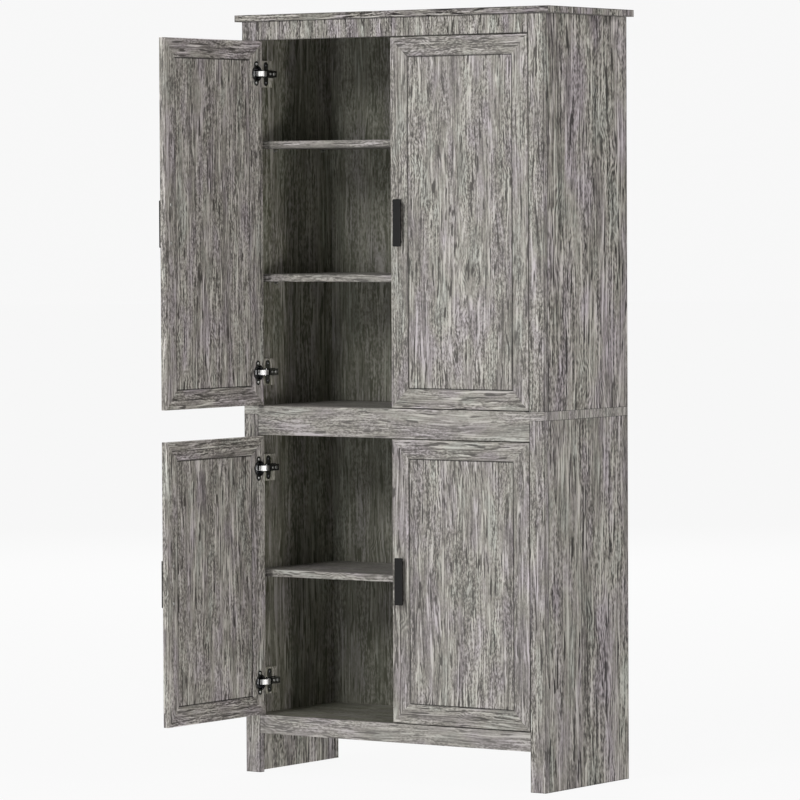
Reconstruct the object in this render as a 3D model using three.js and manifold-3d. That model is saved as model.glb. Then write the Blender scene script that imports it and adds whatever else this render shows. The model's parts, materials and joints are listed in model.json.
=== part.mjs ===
// Tall four-door pantry cupboard: an upper and a lower case of laminated board on leg panels,
// inset framed doors on concealed cup hinges, bar handles, two upper shelves and one lower shelf.
// Millimetres, +Z up. The origin is on the floor under the middle of the case's front face, which faces -Y.

import * as THREE from "three";
import { mergeVertices } from "three/addons/utils/BufferGeometryUtils.js";
import Module from "manifold-3d";

// Case
const caseWidth = 866;
const caseDepth = 362;
const topSideOverhang = 18;
const topFrontOverhang = 6;
const topBackOverhang = 4;

// Heights of the front, from the floor up
const legHeight = 95;
const bottomRailHeight = 45;
const lowerOpeningHeight = 678;
const midRailHeight = 50;
const midDeckThickness = 20;
const upperOpeningHeight = 880;
const friezeHeight = 45;
const topThickness = 16;

// Boards
const sideThickness = 15;
const stileWidth = 42;
const stileThickness = 15;
const railThickness = 15;
const floorThickness = 15;
const backThickness = 4;
const backSetIn = 12;
const backGrooveDepth = 5;
const boardGap = 0.3;

// Shelves: two stand this far above the board below them, and the high one hangs below the opening's top
const shelfThickness = 18;
const shelfSetBack = 32;
const middleShelfRise = 299;
const highShelfDrop = 242;
const lowerShelfRise = 333;

// Doors
const doorGap = 2.5;
const doorThickness = 15;
const doorFrameWidth = 45;
const frameEdgeChamfer = 1;
const frameStepInset = 20.5;
const frameStepWidth = 0.6;
const frameStepDrop = 2.2;
const frameBeadInset = 30.5;
const frameCoveDrop = 1.6;
const panelThickness = 5;
const panelEdgeThickness = 3;
const panelEdgeShown = 2;
const panelTongue = 3;
const panelGap = 0.3;
const leftDoorsOpenDegrees = 90;
const rightDoorsOpenDegrees = 0;

// Handles
const handleLength = 112;
const handleWidth = 21;
const handleThickness = 6;
const handleStandOff = 15;
const handleCornerRadius = 2;
const handleEdgeBevel = 0.8;
const handlePostSpacing = 90;
const handlePostDiameter = 8;
const seatGap = 0.3;

// Hinge cup, let into the back of the door frame
const hingeEndDistance = 78;
const cupDiameter = 35;
const cupDepth = 11.5;
const cupWall = 1;
const cupEdgeDistance = 3;
const cupRimWidth = 1.5;
const cupFlangeThickness = 0.8;
const cupBoreGap = 0.3;
const cupEarRadius = 7;
const cupEarShift = 4;
const cupScrewSpacing = 45;
const cupNotchDepth = 9;
const cupNotchLength = 5;

// Hinge link, an arch between the arm's pin and the cup
const linkPivotAlong = 6;
const linkPivotBehindDoor = 4;
const linkTipDepth = 8;
const linkTipWallGap = 4;
const linkStrip = 2;
const linkWidth = 12;
const linkKnuckleRadius = 2.6;
const linkBoreRadius = 1.4;
const linkTipRadius = 1.3;
const linkSideGap = 0.5;
const linkTurnRatio = 0.728;

// Hinge arm, its mounting plate and the block on the side panel that carries the plate
const hingeBlockHeight = 64;
const hingeBlockDepth = 52.5;
const plateFrontDistance = 22;
const plateLength = 45;
const plateBarHeight = 18;
const plateThickness = 2;
const plateWingHeight = 58;
const plateWingWidth = 16;
const plateWingCentre = 37;
const armSheet = 1.5;
const armCheekGap = 0.3;
const armHeight = 14;
const armFoot = 3;
const armFrontGap = 9;
const armEndInset = 3;
const armNoseRadius = 2.4;
const armPinRadius = 1.1;

// Facets
const circleSteps = 28;
const smallCircleSteps = 12;
const archSteps = 14;
const coveSteps = 4;
const cornerSteps = 4;
const handleBevelSteps = 2;
const cutOverrun = 1;
const mergeTolerance = 1e-4;

// Heights above the floor
const lowerOpeningBottom = legHeight + bottomRailHeight;
const lowerOpeningTop = lowerOpeningBottom + lowerOpeningHeight;
const midDeckBottom = lowerOpeningTop + midRailHeight;
const upperOpeningBottom = midDeckBottom + midDeckThickness;
const upperOpeningTop = upperOpeningBottom + upperOpeningHeight;
const topBoardBottom = upperOpeningTop + friezeHeight;

// Places across and along the case
const openingWidth = caseWidth - 2 * stileWidth;
const doorWidth = (openingWidth - 3 * doorGap) / 2;
const frontFace = 0;
const backEdge = frontFace + caseDepth;
const sidePanelFront = frontFace + stileThickness;
const backPanelBack = backEdge - backSetIn;
const backPanelFront = backPanelBack - backThickness;
const cupCentre = cupEdgeDistance + cupDiameter / 2;
const linkPivotDepth = doorThickness + linkPivotBehindDoor;
const linkTipAlong = cupCentre + cupDiameter / 2 - cupWall - linkTipWallGap;
const linkSpan = Math.hypot(linkTipAlong - linkPivotAlong, linkPivotDepth - linkTipDepth);
const cupNotchWidth = linkWidth + 2 * linkSideGap;
const armWidth = linkWidth + 2 * (armCheekGap + armSheet);
const handleEdgeDistance = (frameStepInset + frameStepWidth + frameBeadInset) / 2;
const linkClosedAngle = Math.atan2(linkTipDepth - linkPivotDepth, linkTipAlong - linkPivotAlong);

const oak = { color: 0x8f8b85, roughness: 0.62, metalness: 0 };
const oakDark = { color: 0x6f6c66, roughness: 0.66, metalness: 0 };
const blackMetal = { color: 0x262626, roughness: 0.45, metalness: 0.5 };
const plated = { color: 0xb9bbbd, roughness: 0.28, metalness: 1 };

const wasm = await Module();
wasm.setup();

function toSolid(geometry) {
  const bare = geometry.clone();
  bare.deleteAttribute("normal");
  bare.deleteAttribute("uv");
  const merged = mergeVertices(bare, mergeTolerance);
  const vertProperties = Float32Array.from(merged.getAttribute("position").array);
  const triVerts = Uint32Array.from(merged.getIndex().array);
  return new wasm.Manifold(new wasm.Mesh({ numProp: 3, vertProperties, triVerts }));
}

function toGeometry(solid) {
  const made = solid.getMesh();
  const geometry = new THREE.BufferGeometry();
  geometry.setAttribute("position", new THREE.BufferAttribute(Float32Array.from(made.vertProperties), 3));
  geometry.setIndex(new THREE.BufferAttribute(Uint32Array.from(made.triVerts), 1));
  geometry.computeVertexNormals();
  return geometry;
}

function joined(geometries) {
  return geometries.map(toSolid).reduce((sum, next) => sum.add(next));
}

function cut(geometry, tools) {
  return toGeometry(tools.map(toSolid).reduce((left, tool) => left.subtract(tool), toSolid(geometry)));
}

function mesh(name, geometry, finish) {
  const made = new THREE.Mesh(geometry, new THREE.MeshStandardMaterial(finish));
  made.name = name;
  return made;
}

// A box given by its two ends along each axis, so that neighbours share the same face exactly
function block(across, depth, height) {
  const box = new THREE.BoxGeometry(1, 1, 1);
  const position = box.getAttribute("position");
  for (let i = 0; i < position.count; i++) {
    const x = across[position.getX(i) < 0 ? 0 : 1];
    const y = depth[position.getY(i) < 0 ? 0 : 1];
    const z = height[position.getZ(i) < 0 ? 0 : 1];
    position.setXYZ(i, x, y, z);
  }
  return box;
}

// The same box, or its mirror image across the middle of the cupboard
function sideBlock(side, [near, far], depth, height) {
  const ends = side > 0 ? [near, far] : [-far, -near];
  return block(ends, depth, height);
}

// A plan outline raised from one height to another
function raised(points, bottom, top) {
  const shape = new THREE.Shape(points);
  const geometry = new THREE.ExtrudeGeometry(shape, { depth: 1, bevelEnabled: false });
  const position = geometry.getAttribute("position");
  for (let i = 0; i < position.count; i++) {
    position.setZ(i, position.getZ(i) > 0 ? top : bottom);
  }
  return geometry;
}

// An outline in the plane of a door, thickened along Y from front to back
function thickened(points, front, back) {
  const geometry = raised(points, 0, back - front);
  const turn = new THREE.Matrix4().makeBasis(
    new THREE.Vector3(0, 0, 1),
    new THREE.Vector3(1, 0, 0),
    new THREE.Vector3(0, 1, 0),
  );
  return geometry.applyMatrix4(turn).translate(0, front, 0);
}

// An outline in the plane of a side panel, thickened along X away from that panel
function sideThickened(side, points, near, far) {
  const geometry = raised(points, 0, far - near);
  const turn = new THREE.Matrix4().makeBasis(
    new THREE.Vector3(0, 1, 0),
    new THREE.Vector3(0, 0, 1),
    new THREE.Vector3(1, 0, 0),
  );
  return geometry.applyMatrix4(turn).translate(side > 0 ? near : -far, 0, 0);
}

function arc(x, y, radius, fromAngle, toAngle, steps) {
  return Array.from({ length: steps + 1 }, (_, i) => {
    const angle = fromAngle + ((toAngle - fromAngle) * i) / steps;
    return new THREE.Vector2(x + radius * Math.cos(angle), y + radius * Math.sin(angle));
  });
}

function circle(x, y, radius, steps) {
  return arc(x, y, radius, 0, 2 * Math.PI, steps).slice(0, steps);
}

function mirroredOutline(side, points) {
  return points.map((point) => new THREE.Vector2(side * point.x, point.y));
}

// A round bar along Y from front to back
function barAlongY(x, z, radius, [front, back], steps) {
  const bar = new THREE.CylinderGeometry(radius, radius, back - front, steps);
  return bar.translate(x, (front + back) / 2, z);
}

// Case boards

function topBoard() {
  const half = caseWidth / 2 + topSideOverhang;
  const depth = [frontFace - topFrontOverhang, backEdge + topBackOverhang];
  return block([-half, half], depth, [topBoardBottom, topBoardBottom + topThickness]);
}

function midDeck() {
  const across = [-caseWidth / 2, caseWidth / 2];
  return block(across, [frontFace, backEdge], [midDeckBottom, upperOpeningBottom]);
}

function rail([bottom, top]) {
  const half = openingWidth / 2;
  return block([-half, half], [frontFace, frontFace + railThickness], [bottom, top]);
}

function stile(side, height) {
  const outer = caseWidth / 2;
  return sideBlock(-side, [outer - stileWidth, outer], [frontFace, sidePanelFront], height);
}

// A side panel with the groove that holds the back panel, and the blocks glued to it behind the stile,
// which bring the hinge plates out to the edge of the opening
function sidePanel(side, [bottom, top], hingeHeights) {
  const outer = -caseWidth / 2;
  const inner = outer + sideThickness;
  const grooveFloor = inner - backGrooveDepth;
  const grooveFront = backPanelFront - boardGap;
  const grooveBack = backPanelBack + boardGap;
  const outline = [
    new THREE.Vector2(outer, sidePanelFront),
    new THREE.Vector2(inner, sidePanelFront),
    new THREE.Vector2(inner, grooveFront),
    new THREE.Vector2(grooveFloor, grooveFront),
    new THREE.Vector2(grooveFloor, grooveBack),
    new THREE.Vector2(inner, grooveBack),
    new THREE.Vector2(inner, backEdge),
    new THREE.Vector2(outer, backEdge),
  ];
  const panel = raised(mirroredOutline(side, outline), bottom, top);
  const across = [openingWidth / 2, (caseWidth - sideThickness) / 2];
  const depth = [sidePanelFront, sidePanelFront + hingeBlockDepth];
  const blocks = hingeHeights.map((height) => {
    const span = [height - hingeBlockHeight / 2, height + hingeBlockHeight / 2];
    return sideBlock(-side, across, depth, span);
  });
  return toGeometry(joined([panel, ...blocks]));
}

function backPanel([bottom, top]) {
  const half = caseWidth / 2 - sideThickness + backGrooveDepth - boardGap;
  return block([-half, half], [backPanelFront, backPanelBack], [bottom, top]);
}

function lowerFloor() {
  const half = caseWidth / 2 - sideThickness;
  const depth = [frontFace + railThickness, backPanelFront - boardGap];
  return block([-half, half], depth, [lowerOpeningBottom - floorThickness, lowerOpeningBottom]);
}

// A shelf between the sides, lying on its pins
function shelf(bottom) {
  const half = caseWidth / 2 - sideThickness - boardGap;
  const depth = [frontFace + shelfSetBack, backPanelFront - boardGap];
  return block([-half, half], depth, [bottom, bottom + shelfThickness]);
}

// Doors. A door is drawn shut, from its pivot: the outer corner of its hinged edge.
// "side" is 1 for a door hinged on the left and -1 for one hinged on the right.

// Half of the frame's moulding, from its outer edge to the lip over the panel: inset, then depth
function frameMoulding() {
  const lipDepth = frameStepDrop + frameCoveDrop;
  const coveWidth = doorFrameWidth - frameBeadInset;
  const cove = arc(0, 0, 1, Math.PI / 2, 0, coveSteps).map((point) => [
    frameBeadInset + coveWidth * point.x,
    frameStepDrop + frameCoveDrop * (1 - point.y),
  ]);
  return [
    [0, frameEdgeChamfer],
    [frameEdgeChamfer, 0],
    [frameStepInset, 0],
    [frameStepInset + frameStepWidth, frameStepDrop],
    ...cove.slice(0, -1),
    [doorFrameWidth, lipDepth],
  ];
}

// The whole section: both moulded faces and the groove for the panel between them
function frameSection() {
  const front = frameMoulding();
  const back = frameMoulding().map(([inset, depth]) => [inset, doorThickness - depth]);
  const grooveFront = (doorThickness - panelEdgeThickness) / 2 - panelGap;
  const grooveBack = doorThickness - grooveFront;
  const grooveFloor = doorFrameWidth - panelTongue;
  const groove = [
    [doorFrameWidth, grooveFront],
    [grooveFloor, grooveFront],
    [grooveFloor, grooveBack],
    [doorFrameWidth, grooveBack],
  ];
  return [...front, ...groove, ...back.reverse()];
}

// The section carried round a rectangle, with a mitre at each corner
function mitredFrame(width, height, section) {
  const corners = [
    [-1, -1],
    [1, -1],
    [1, 1],
    [-1, 1],
  ];
  const positions = corners.flatMap(([right, up]) =>
    section.flatMap(([inset, depth]) => [
      right * (width / 2 - inset),
      depth,
      up * (height / 2 - inset),
    ]),
  );
  const count = section.length;
  const triangles = [];
  corners.forEach((_, corner) => {
    const here = corner * count;
    const next = ((corner + 1) % corners.length) * count;
    section.forEach((__, i) => {
      const j = (i + 1) % count;
      triangles.push(here + i, next + i, next + j, here + i, next + j, here + j);
    });
  });
  const geometry = new THREE.BufferGeometry();
  geometry.setAttribute("position", new THREE.Float32BufferAttribute(positions, 3));
  geometry.setIndex(triangles);
  return geometry;
}

function cupBores(side, hingeHeights) {
  const depth = [doorThickness - cupDepth - cupBoreGap, doorThickness + cutOverrun];
  const radius = cupDiameter / 2 + cupBoreGap;
  return hingeHeights.map((height) => barAlongY(side * cupCentre, height, radius, depth, circleSteps));
}

function doorFrame(side, [bottom, top], hingeHeights) {
  const frame = mitredFrame(doorWidth, top - bottom, frameSection());
  frame.translate((side * doorWidth) / 2, 0, (bottom + top) / 2);
  return cut(frame, cupBores(side, hingeHeights));
}

// One layer of a door panel, centred in the door's thickness
function panelLayer(side, [bottom, top], inset, thickness) {
  const front = (doorThickness - thickness) / 2;
  const across = [inset, doorWidth - inset];
  return sideBlock(side, across, [front, front + thickness], [bottom + inset, top - inset]);
}

// The panel: its edge is thinned for the frame's groove, and a strip of the thin edge shows as a shadow line
function doorPanel(side, span) {
  const edge = panelLayer(side, span, doorFrameWidth - panelTongue + panelGap, panelEdgeThickness);
  const field = panelLayer(side, span, doorFrameWidth + panelEdgeShown, panelThickness);
  return toGeometry(joined([edge, field]));
}

// A rounded rectangle about the origin: y runs along the door's height
function roundedRectangle(halfWidth, halfHeight, radius) {
  const centres = [
    [1, 1, 0],
    [-1, 1, 1],
    [-1, -1, 2],
    [1, -1, 3],
  ];
  return centres.flatMap(([right, up, quarter]) => {
    const start = (quarter * Math.PI) / 2;
    const x = right * (halfWidth - radius);
    const y = up * (halfHeight - radius);
    return arc(x, y, radius, start, start + Math.PI / 2, cornerSteps);
  });
}

// A flat bar on two round posts that stand on the frame's bead, with its outer edges eased
function handle(side, middle) {
  const halfWidth = handleWidth / 2 - handleEdgeBevel;
  const halfHeight = handleLength / 2 - handleEdgeBevel;
  const outline = roundedRectangle(halfWidth, halfHeight, handleCornerRadius);
  const bar = new THREE.ExtrudeGeometry(new THREE.Shape(outline), {
    depth: handleThickness - 2 * handleEdgeBevel,
    bevelThickness: handleEdgeBevel,
    bevelSize: handleEdgeBevel,
    bevelSegments: handleBevelSteps,
  });
  bar.rotateX(Math.PI / 2);
  bar.translate(0, handleThickness - handleEdgeBevel - handleStandOff, 0);
  const reach = [-handleStandOff + handleThickness / 2, frameStepDrop - seatGap];
  const posts = [-1, 1].map((up) =>
    barAlongY(0, (up * handlePostSpacing) / 2, handlePostDiameter / 2, reach, circleSteps),
  );
  const geometry = toGeometry(joined([bar, ...posts]));
  return geometry.translate(side * (doorWidth - handleEdgeDistance), 0, middle);
}

// Hinges

// The cup is drawn about its own middle at the height of the hinge, with its mouth towards +Y
function hingeCup(side) {
  const outer = cupDiameter / 2;
  const hollow = outer - cupWall;
  const bottom = doorThickness - cupDepth;
  const flangeBottom = doorThickness + seatGap;
  const flangeTop = flangeBottom + cupFlangeThickness;
  const profile = [
    new THREE.Vector2(0, bottom),
    new THREE.Vector2(outer, bottom),
    new THREE.Vector2(outer, flangeBottom),
    new THREE.Vector2(outer + cupRimWidth, flangeBottom),
    new THREE.Vector2(outer + cupRimWidth, flangeTop),
    new THREE.Vector2(hollow, flangeTop),
    new THREE.Vector2(hollow, bottom + cupWall),
    new THREE.Vector2(0, bottom + cupWall),
  ];
  const shell = new THREE.LatheGeometry(profile, circleSteps);
  const ears = [-1, 1].map((up) => {
    const centre = circle((up * cupScrewSpacing) / 2, side * cupEarShift, cupEarRadius, circleSteps);
    return thickened(centre, flangeBottom, flangeTop);
  });
  const earAcross = [cupEarShift - cupEarRadius, cupEarShift + cupEarRadius];
  const earHeight = [-cupScrewSpacing / 2, cupScrewSpacing / 2];
  const strap = sideBlock(side, earAcross, [flangeBottom, flangeTop], earHeight);
  const mouth = barAlongY(0, 0, hollow, [bottom + cupWall, flangeTop + cutOverrun], circleSteps);
  const notchStart = -outer - cupRimWidth - cutOverrun;
  const notchAcross = [notchStart, notchStart + cutOverrun + cupNotchLength];
  const notchDepth = [flangeTop - cupNotchDepth, flangeTop + cutOverrun];
  const notch = sideBlock(side, notchAcross, notchDepth, [-cupNotchWidth / 2, cupNotchWidth / 2]);
  const plate = joined([strap, ...ears]).subtract(toSolid(mouth));
  return toGeometry(toSolid(shell).add(plate).subtract(toSolid(notch)));
}

// The link is drawn from its pin along +X (mirrored for a right-hand door), arching towards +Y
function hingeLink(side) {
  const radius = linkSpan / 2;
  const outer = arc(radius, 0, radius + linkStrip / 2, Math.PI, 0, archSteps);
  const inner = arc(radius, 0, radius - linkStrip / 2, 0, Math.PI, archSteps);
  const height = [-linkWidth / 2, linkWidth / 2];
  const arch = raised(mirroredOutline(side, [...outer, ...inner]), ...height);
  const knuckle = raised(circle(0, 0, linkKnuckleRadius, smallCircleSteps), ...height);
  const tip = raised(circle(side * linkSpan, 0, linkTipRadius, smallCircleSteps), ...height);
  const bore = circle(0, 0, linkBoreRadius, smallCircleSteps);
  const boreTool = raised(bore, height[0] - cutOverrun, height[1] + cutOverrun);
  return toGeometry(joined([arch, knuckle, tip]).subtract(toSolid(boreTool)));
}

// The arm's two cheeks carry the link's pin at their nose
function armCheek(side, height) {
  const pivotAcross = doorGap + linkPivotAlong;
  const tail = plateFrontDistance + plateLength - armEndInset;
  const neck = linkPivotDepth + armFrontGap;
  const outline = [
    new THREE.Vector2(armHeight, tail),
    new THREE.Vector2(armHeight, neck),
    ...arc(pivotAcross, linkPivotDepth, armNoseRadius, Math.PI / 8, -Math.PI, smallCircleSteps),
    new THREE.Vector2(armFoot, neck),
    new THREE.Vector2(armFoot, tail),
  ];
  return raised(mirroredOutline(side, outline), ...height);
}

// Mounting plate, arm and pin in one, from the edge of the opening and the front of the case
function hingeArm(side) {
  const plateBack = plateFrontDistance + plateLength;
  const barHeight = [-plateBarHeight / 2, plateBarHeight / 2];
  const barPlate = sideBlock(side, [0, plateThickness], [plateFrontDistance, plateBack], barHeight);
  const wingReach = (plateWingHeight - plateWingWidth) / 2;
  const wing = [
    ...arc(plateWingCentre, wingReach, plateWingWidth / 2, 0, Math.PI, smallCircleSteps),
    ...arc(plateWingCentre, -wingReach, plateWingWidth / 2, Math.PI, 2 * Math.PI, smallCircleSteps),
  ];
  const wings = sideThickened(side, wing, 0, plateThickness);
  const halfWidth = armWidth / 2;
  const cheeks = [
    armCheek(side, [halfWidth - armSheet, halfWidth]),
    armCheek(side, [-halfWidth, armSheet - halfWidth]),
  ];
  const tail = plateBack - armEndInset;
  const webFront = linkPivotDepth + armFrontGap;
  const webAcross = [armHeight - armSheet, armHeight];
  const web = sideBlock(side, webAcross, [webFront + armEndInset, tail], [-halfWidth, halfWidth]);
  const riserHalf = halfWidth - armSheet;
  const riserDepth = [webFront + 2 * armEndInset, tail - armEndInset];
  const riser = sideBlock(side, [0, armHeight - armSheet], riserDepth, [-riserHalf, riserHalf]);
  const pinCircle = circle(side * (doorGap + linkPivotAlong), linkPivotDepth, armPinRadius, smallCircleSteps);
  const pin = raised(pinCircle, -halfWidth + armSheet / 2, halfWidth - armSheet / 2);
  return toGeometry(joined([barPlate, wings, ...cheeks, web, riser, pin]));
}

function doorPieces(name, side, span, hingeHeights, openDegrees) {
  const door = new THREE.Group();
  door.add(mesh(`${name}_frame`, doorFrame(side, span, hingeHeights), oak));
  door.add(mesh(`${name}_panel`, doorPanel(side, span), oak));
  door.add(mesh(`${name}_handle`, handle(side, (span[0] + span[1]) / 2), blackMetal));
  hingeHeights.forEach((height, i) => {
    const cup = mesh(`${name}_${["bottom", "top"][i]}_hinge_cup`, hingeCup(side), plated);
    cup.position.set(side * cupCentre, 0, height);
    door.add(cup);
  });
  door.position.set(-side * (openingWidth / 2 - doorGap), frontFace, 0);
  door.rotation.z = -side * THREE.MathUtils.degToRad(openDegrees);
  return door;
}

function hingePieces(name, side, height, openDegrees) {
  const group = new THREE.Group();
  group.add(mesh(`${name}_arm`, hingeArm(side), plated));
  const link = mesh(`${name}_link`, hingeLink(side), plated);
  const turned = linkClosedAngle - linkTurnRatio * THREE.MathUtils.degToRad(openDegrees);
  link.position.set(side * (doorGap + linkPivotAlong), linkPivotDepth, 0);
  link.rotation.z = side * turned;
  group.add(link);
  group.position.set((-side * openingWidth) / 2, frontFace, height);
  return group;
}

const cupboard = new THREE.Group();
cupboard.name = "pantry_cupboard";

cupboard.add(mesh("top_board", topBoard(), oak));
cupboard.add(mesh("mid_deck", midDeck(), oak));
cupboard.add(mesh("frieze_rail", rail([upperOpeningTop, topBoardBottom]), oak));
cupboard.add(mesh("mid_rail", rail([lowerOpeningTop, midDeckBottom]), oak));
cupboard.add(mesh("bottom_rail", rail([legHeight, lowerOpeningBottom]), oak));
cupboard.add(mesh("lower_floor", lowerFloor(), oakDark));
cupboard.add(mesh("upper_back_panel", backPanel([upperOpeningBottom, topBoardBottom]), oakDark));
const lowerBack = backPanel([lowerOpeningBottom - floorThickness, midDeckBottom]);
cupboard.add(mesh("lower_back_panel", lowerBack, oakDark));
cupboard.add(mesh("middle_shelf", shelf(upperOpeningBottom + middleShelfRise), oakDark));
cupboard.add(mesh("high_shelf", shelf(upperOpeningTop - highShelfDrop - shelfThickness), oakDark));
cupboard.add(mesh("lower_shelf", shelf(lowerOpeningBottom + lowerShelfRise), oakDark));

const hands = [
  { hand: "left", side: 1, openDegrees: leftDoorsOpenDegrees },
  { hand: "right", side: -1, openDegrees: rightDoorsOpenDegrees },
];
const tiers = [
  {
    tier: "upper",
    boards: [upperOpeningBottom, topBoardBottom],
    opening: [upperOpeningBottom, upperOpeningTop],
  },
  {
    tier: "lower",
    boards: [0, midDeckBottom],
    opening: [lowerOpeningBottom, lowerOpeningTop],
  },
];

for (const { hand, side, openDegrees } of hands) {
  for (const { tier, boards, opening } of tiers) {
    const name = `${tier}_${hand}`;
    const span = [opening[0] + doorGap, opening[1] - doorGap];
    const hingeHeights = [span[0] + hingeEndDistance, span[1] - hingeEndDistance];
    cupboard.add(mesh(`${name}_side`, sidePanel(side, boards, hingeHeights), oak));
    cupboard.add(mesh(`${name}_stile`, stile(side, boards), oak));
    cupboard.add(doorPieces(`${name}_door`, side, span, hingeHeights, openDegrees));
    cupboard.add(hingePieces(`${name}_door_bottom_hinge`, side, hingeHeights[0], openDegrees));
    cupboard.add(hingePieces(`${name}_door_top_hinge`, side, hingeHeights[1], openDegrees));
  }
}

export default cupboard;
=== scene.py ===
"""Dresses a four-door pantry cupboard in weathered oak laminate and adds its small fasteners."""

import json
import math

import bmesh
import bpy
from mathutils import Matrix, Vector


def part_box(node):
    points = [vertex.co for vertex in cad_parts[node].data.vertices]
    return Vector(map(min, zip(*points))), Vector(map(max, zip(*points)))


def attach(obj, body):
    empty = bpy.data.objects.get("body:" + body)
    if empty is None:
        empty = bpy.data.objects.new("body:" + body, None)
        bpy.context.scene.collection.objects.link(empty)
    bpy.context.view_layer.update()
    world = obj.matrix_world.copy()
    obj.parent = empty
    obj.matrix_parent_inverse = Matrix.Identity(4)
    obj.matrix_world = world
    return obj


bl_info = {
    "name": "Grey Oak Pantry Cupboard",
    "version": (1, 0, 0),
    "blender": (4, 5, 0),
    "location": "View3D > Sidebar > Cupboard",
    "description": "Dresses a four-door cupboard in weathered oak laminate and adds its fasteners",
    "category": "Object",
}

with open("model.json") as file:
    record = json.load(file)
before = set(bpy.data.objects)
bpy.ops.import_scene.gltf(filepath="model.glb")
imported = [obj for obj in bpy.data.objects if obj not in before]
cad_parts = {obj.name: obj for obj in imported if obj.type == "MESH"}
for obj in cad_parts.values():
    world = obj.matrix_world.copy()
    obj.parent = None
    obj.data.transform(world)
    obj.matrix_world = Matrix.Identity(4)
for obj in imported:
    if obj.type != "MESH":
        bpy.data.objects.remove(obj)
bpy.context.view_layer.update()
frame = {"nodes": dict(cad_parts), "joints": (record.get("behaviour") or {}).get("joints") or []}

MM = 0.001
AXES = "XYZ"

# Doors: side is 1 where the hinges are on the left and -1 where they are on the right, and open is
# the angle in degrees at which the door is stored.
DOORS = {
    "upper_left_door": {"side": 1, "open": 90},
    "lower_left_door": {"side": 1, "open": 90},
    "upper_right_door": {"side": -1, "open": 0},
    "lower_right_door": {"side": -1, "open": 0},
}
HINGE_ENDS = ("bottom", "top")
SHELVES = ("middle_shelf", "high_shelf", "lower_shelf")
SHELF_GAP = 0.3 * MM  # between a shelf's end and the side panel


def linear(hex_colour):
    """An sRGB hex value such as 8F8C86 as linear red, green and blue."""
    channels = [int(hex_colour[i : i + 2], 16) / 255 for i in (0, 2, 4)]
    return tuple(c / 12.92 if c <= 0.04045 else ((c + 0.055) / 1.055) ** 2.4 for c in channels)


# Sizes and colours that a user would change


class OakSettings(bpy.types.PropertyGroup):
    """The print of the oak laminate."""

    ground: bpy.props.FloatVectorProperty(
        name="Ground", description="Middle grey of the print", subtype="COLOR", size=3,
        min=0, max=1, default=linear("96938F"),
    )
    dark: bpy.props.FloatVectorProperty(
        name="Dark grain", description="Colour at the bottom of the grain", subtype="COLOR", size=3,
        min=0, max=1, default=linear("3B3835"),
    )
    light: bpy.props.FloatVectorProperty(
        name="Chalk", description="Colour of the pale streaks", subtype="COLOR", size=3,
        min=0, max=1, default=linear("D3D1CE"),
    )
    # The darker olive grey that calms the film inside is painted shade.
    inner: bpy.props.FloatVectorProperty(
        name="Inside", description="Olive grey that calms the film inside", subtype="COLOR", size=3,
        min=0, max=1, default=linear("878A72"),
    )
    streak_width: bpy.props.FloatProperty(
        name="Streak width", description="Width of one grain streak in millimetres",
        min=1, max=30, default=6.0,
    )
    streak_length: bpy.props.FloatProperty(
        name="Streak length", description="Length of one grain streak in millimetres",
        min=10, max=600, default=120.0,
    )
    ring_spacing: bpy.props.FloatProperty(
        name="Ring spacing", description="Distance between growth rings in millimetres",
        min=4, max=60, default=8.0,
    )
    relief: bpy.props.FloatProperty(
        name="Relief", description="Depth of the embossed grain", subtype="DISTANCE",
        min=0, max=0.002, default=0.0004,
    )


class HardwareSettings(bpy.types.PropertyGroup):
    """The screws and pins."""

    wood_screw: bpy.props.FloatProperty(
        name="Wood screw head", description="Diameter of a hinge screw's head", subtype="DISTANCE",
        unit="LENGTH", min=0.004, max=0.012, default=0.0066,
    )
    cam_screw: bpy.props.FloatProperty(
        name="Cam screw head", description="Diameter of the arm's adjusting cam",
        subtype="DISTANCE", unit="LENGTH", min=0.004, max=0.012, default=0.0086,
    )
    handle_screw: bpy.props.FloatProperty(
        name="Handle screw head", description="Diameter of a handle screw's head",
        subtype="DISTANCE", unit="LENGTH", min=0.004, max=0.014, default=0.008,
    )
    shelf_pin: bpy.props.FloatProperty(
        name="Shelf pin", description="Diameter of a shelf pin", subtype="DISTANCE",
        unit="LENGTH", min=0.003, max=0.008, default=0.005,
    )


class StageSettings(bpy.types.PropertyGroup):
    """The camera and the lamps."""

    focal_length: bpy.props.FloatProperty(
        name="Focal length", description="Lens of the camera in millimetres",
        min=20, max=400, default=222.62,
    )
    key_power: bpy.props.FloatProperty(
        name="Key", description="Power of the high front lamp", subtype="POWER", unit="POWER",
        min=0, max=5000, default=340.0,
    )
    front_power: bpy.props.FloatProperty(
        name="Front", description="Power of the low front lamp", subtype="POWER", unit="POWER",
        min=0, max=5000, default=108.0,
    )
    side_power: bpy.props.FloatProperty(
        name="Side", description="Power of the high right-hand lamp", subtype="POWER",
        unit="POWER", min=0, max=5000, default=122.0,
    )
    low_power: bpy.props.FloatProperty(
        name="Low", description="Power of the lamp near the floor on the right", subtype="POWER",
        unit="POWER", min=0, max=5000, default=80.0,
    )
    back_power: bpy.props.FloatProperty(
        name="Back", description="Power of the lamp behind on the left", subtype="POWER",
        unit="POWER", min=0, max=5000, default=260.0,
    )
    fill: bpy.props.FloatProperty(
        name="Fill", description="Strength of the light from all round",
        min=0, max=1, default=0.08,
    )


# Node trees


def add_node(tree, kind, settings=None, inputs=None):
    """Adds a node with its settings. An input takes a number, a socket or a node's first output."""
    node = tree.nodes.new(kind)
    for name, value in (settings or {}).items():
        setattr(node, name, value)
    for name, value in (inputs or {}).items():
        if isinstance(value, bpy.types.Node):
            value = next(output for output in value.outputs if output.enabled)
        if isinstance(value, bpy.types.NodeSocket):
            tree.links.new(value, node.inputs[name])
        else:
            node.inputs[name].default_value = value
    return node


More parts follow.
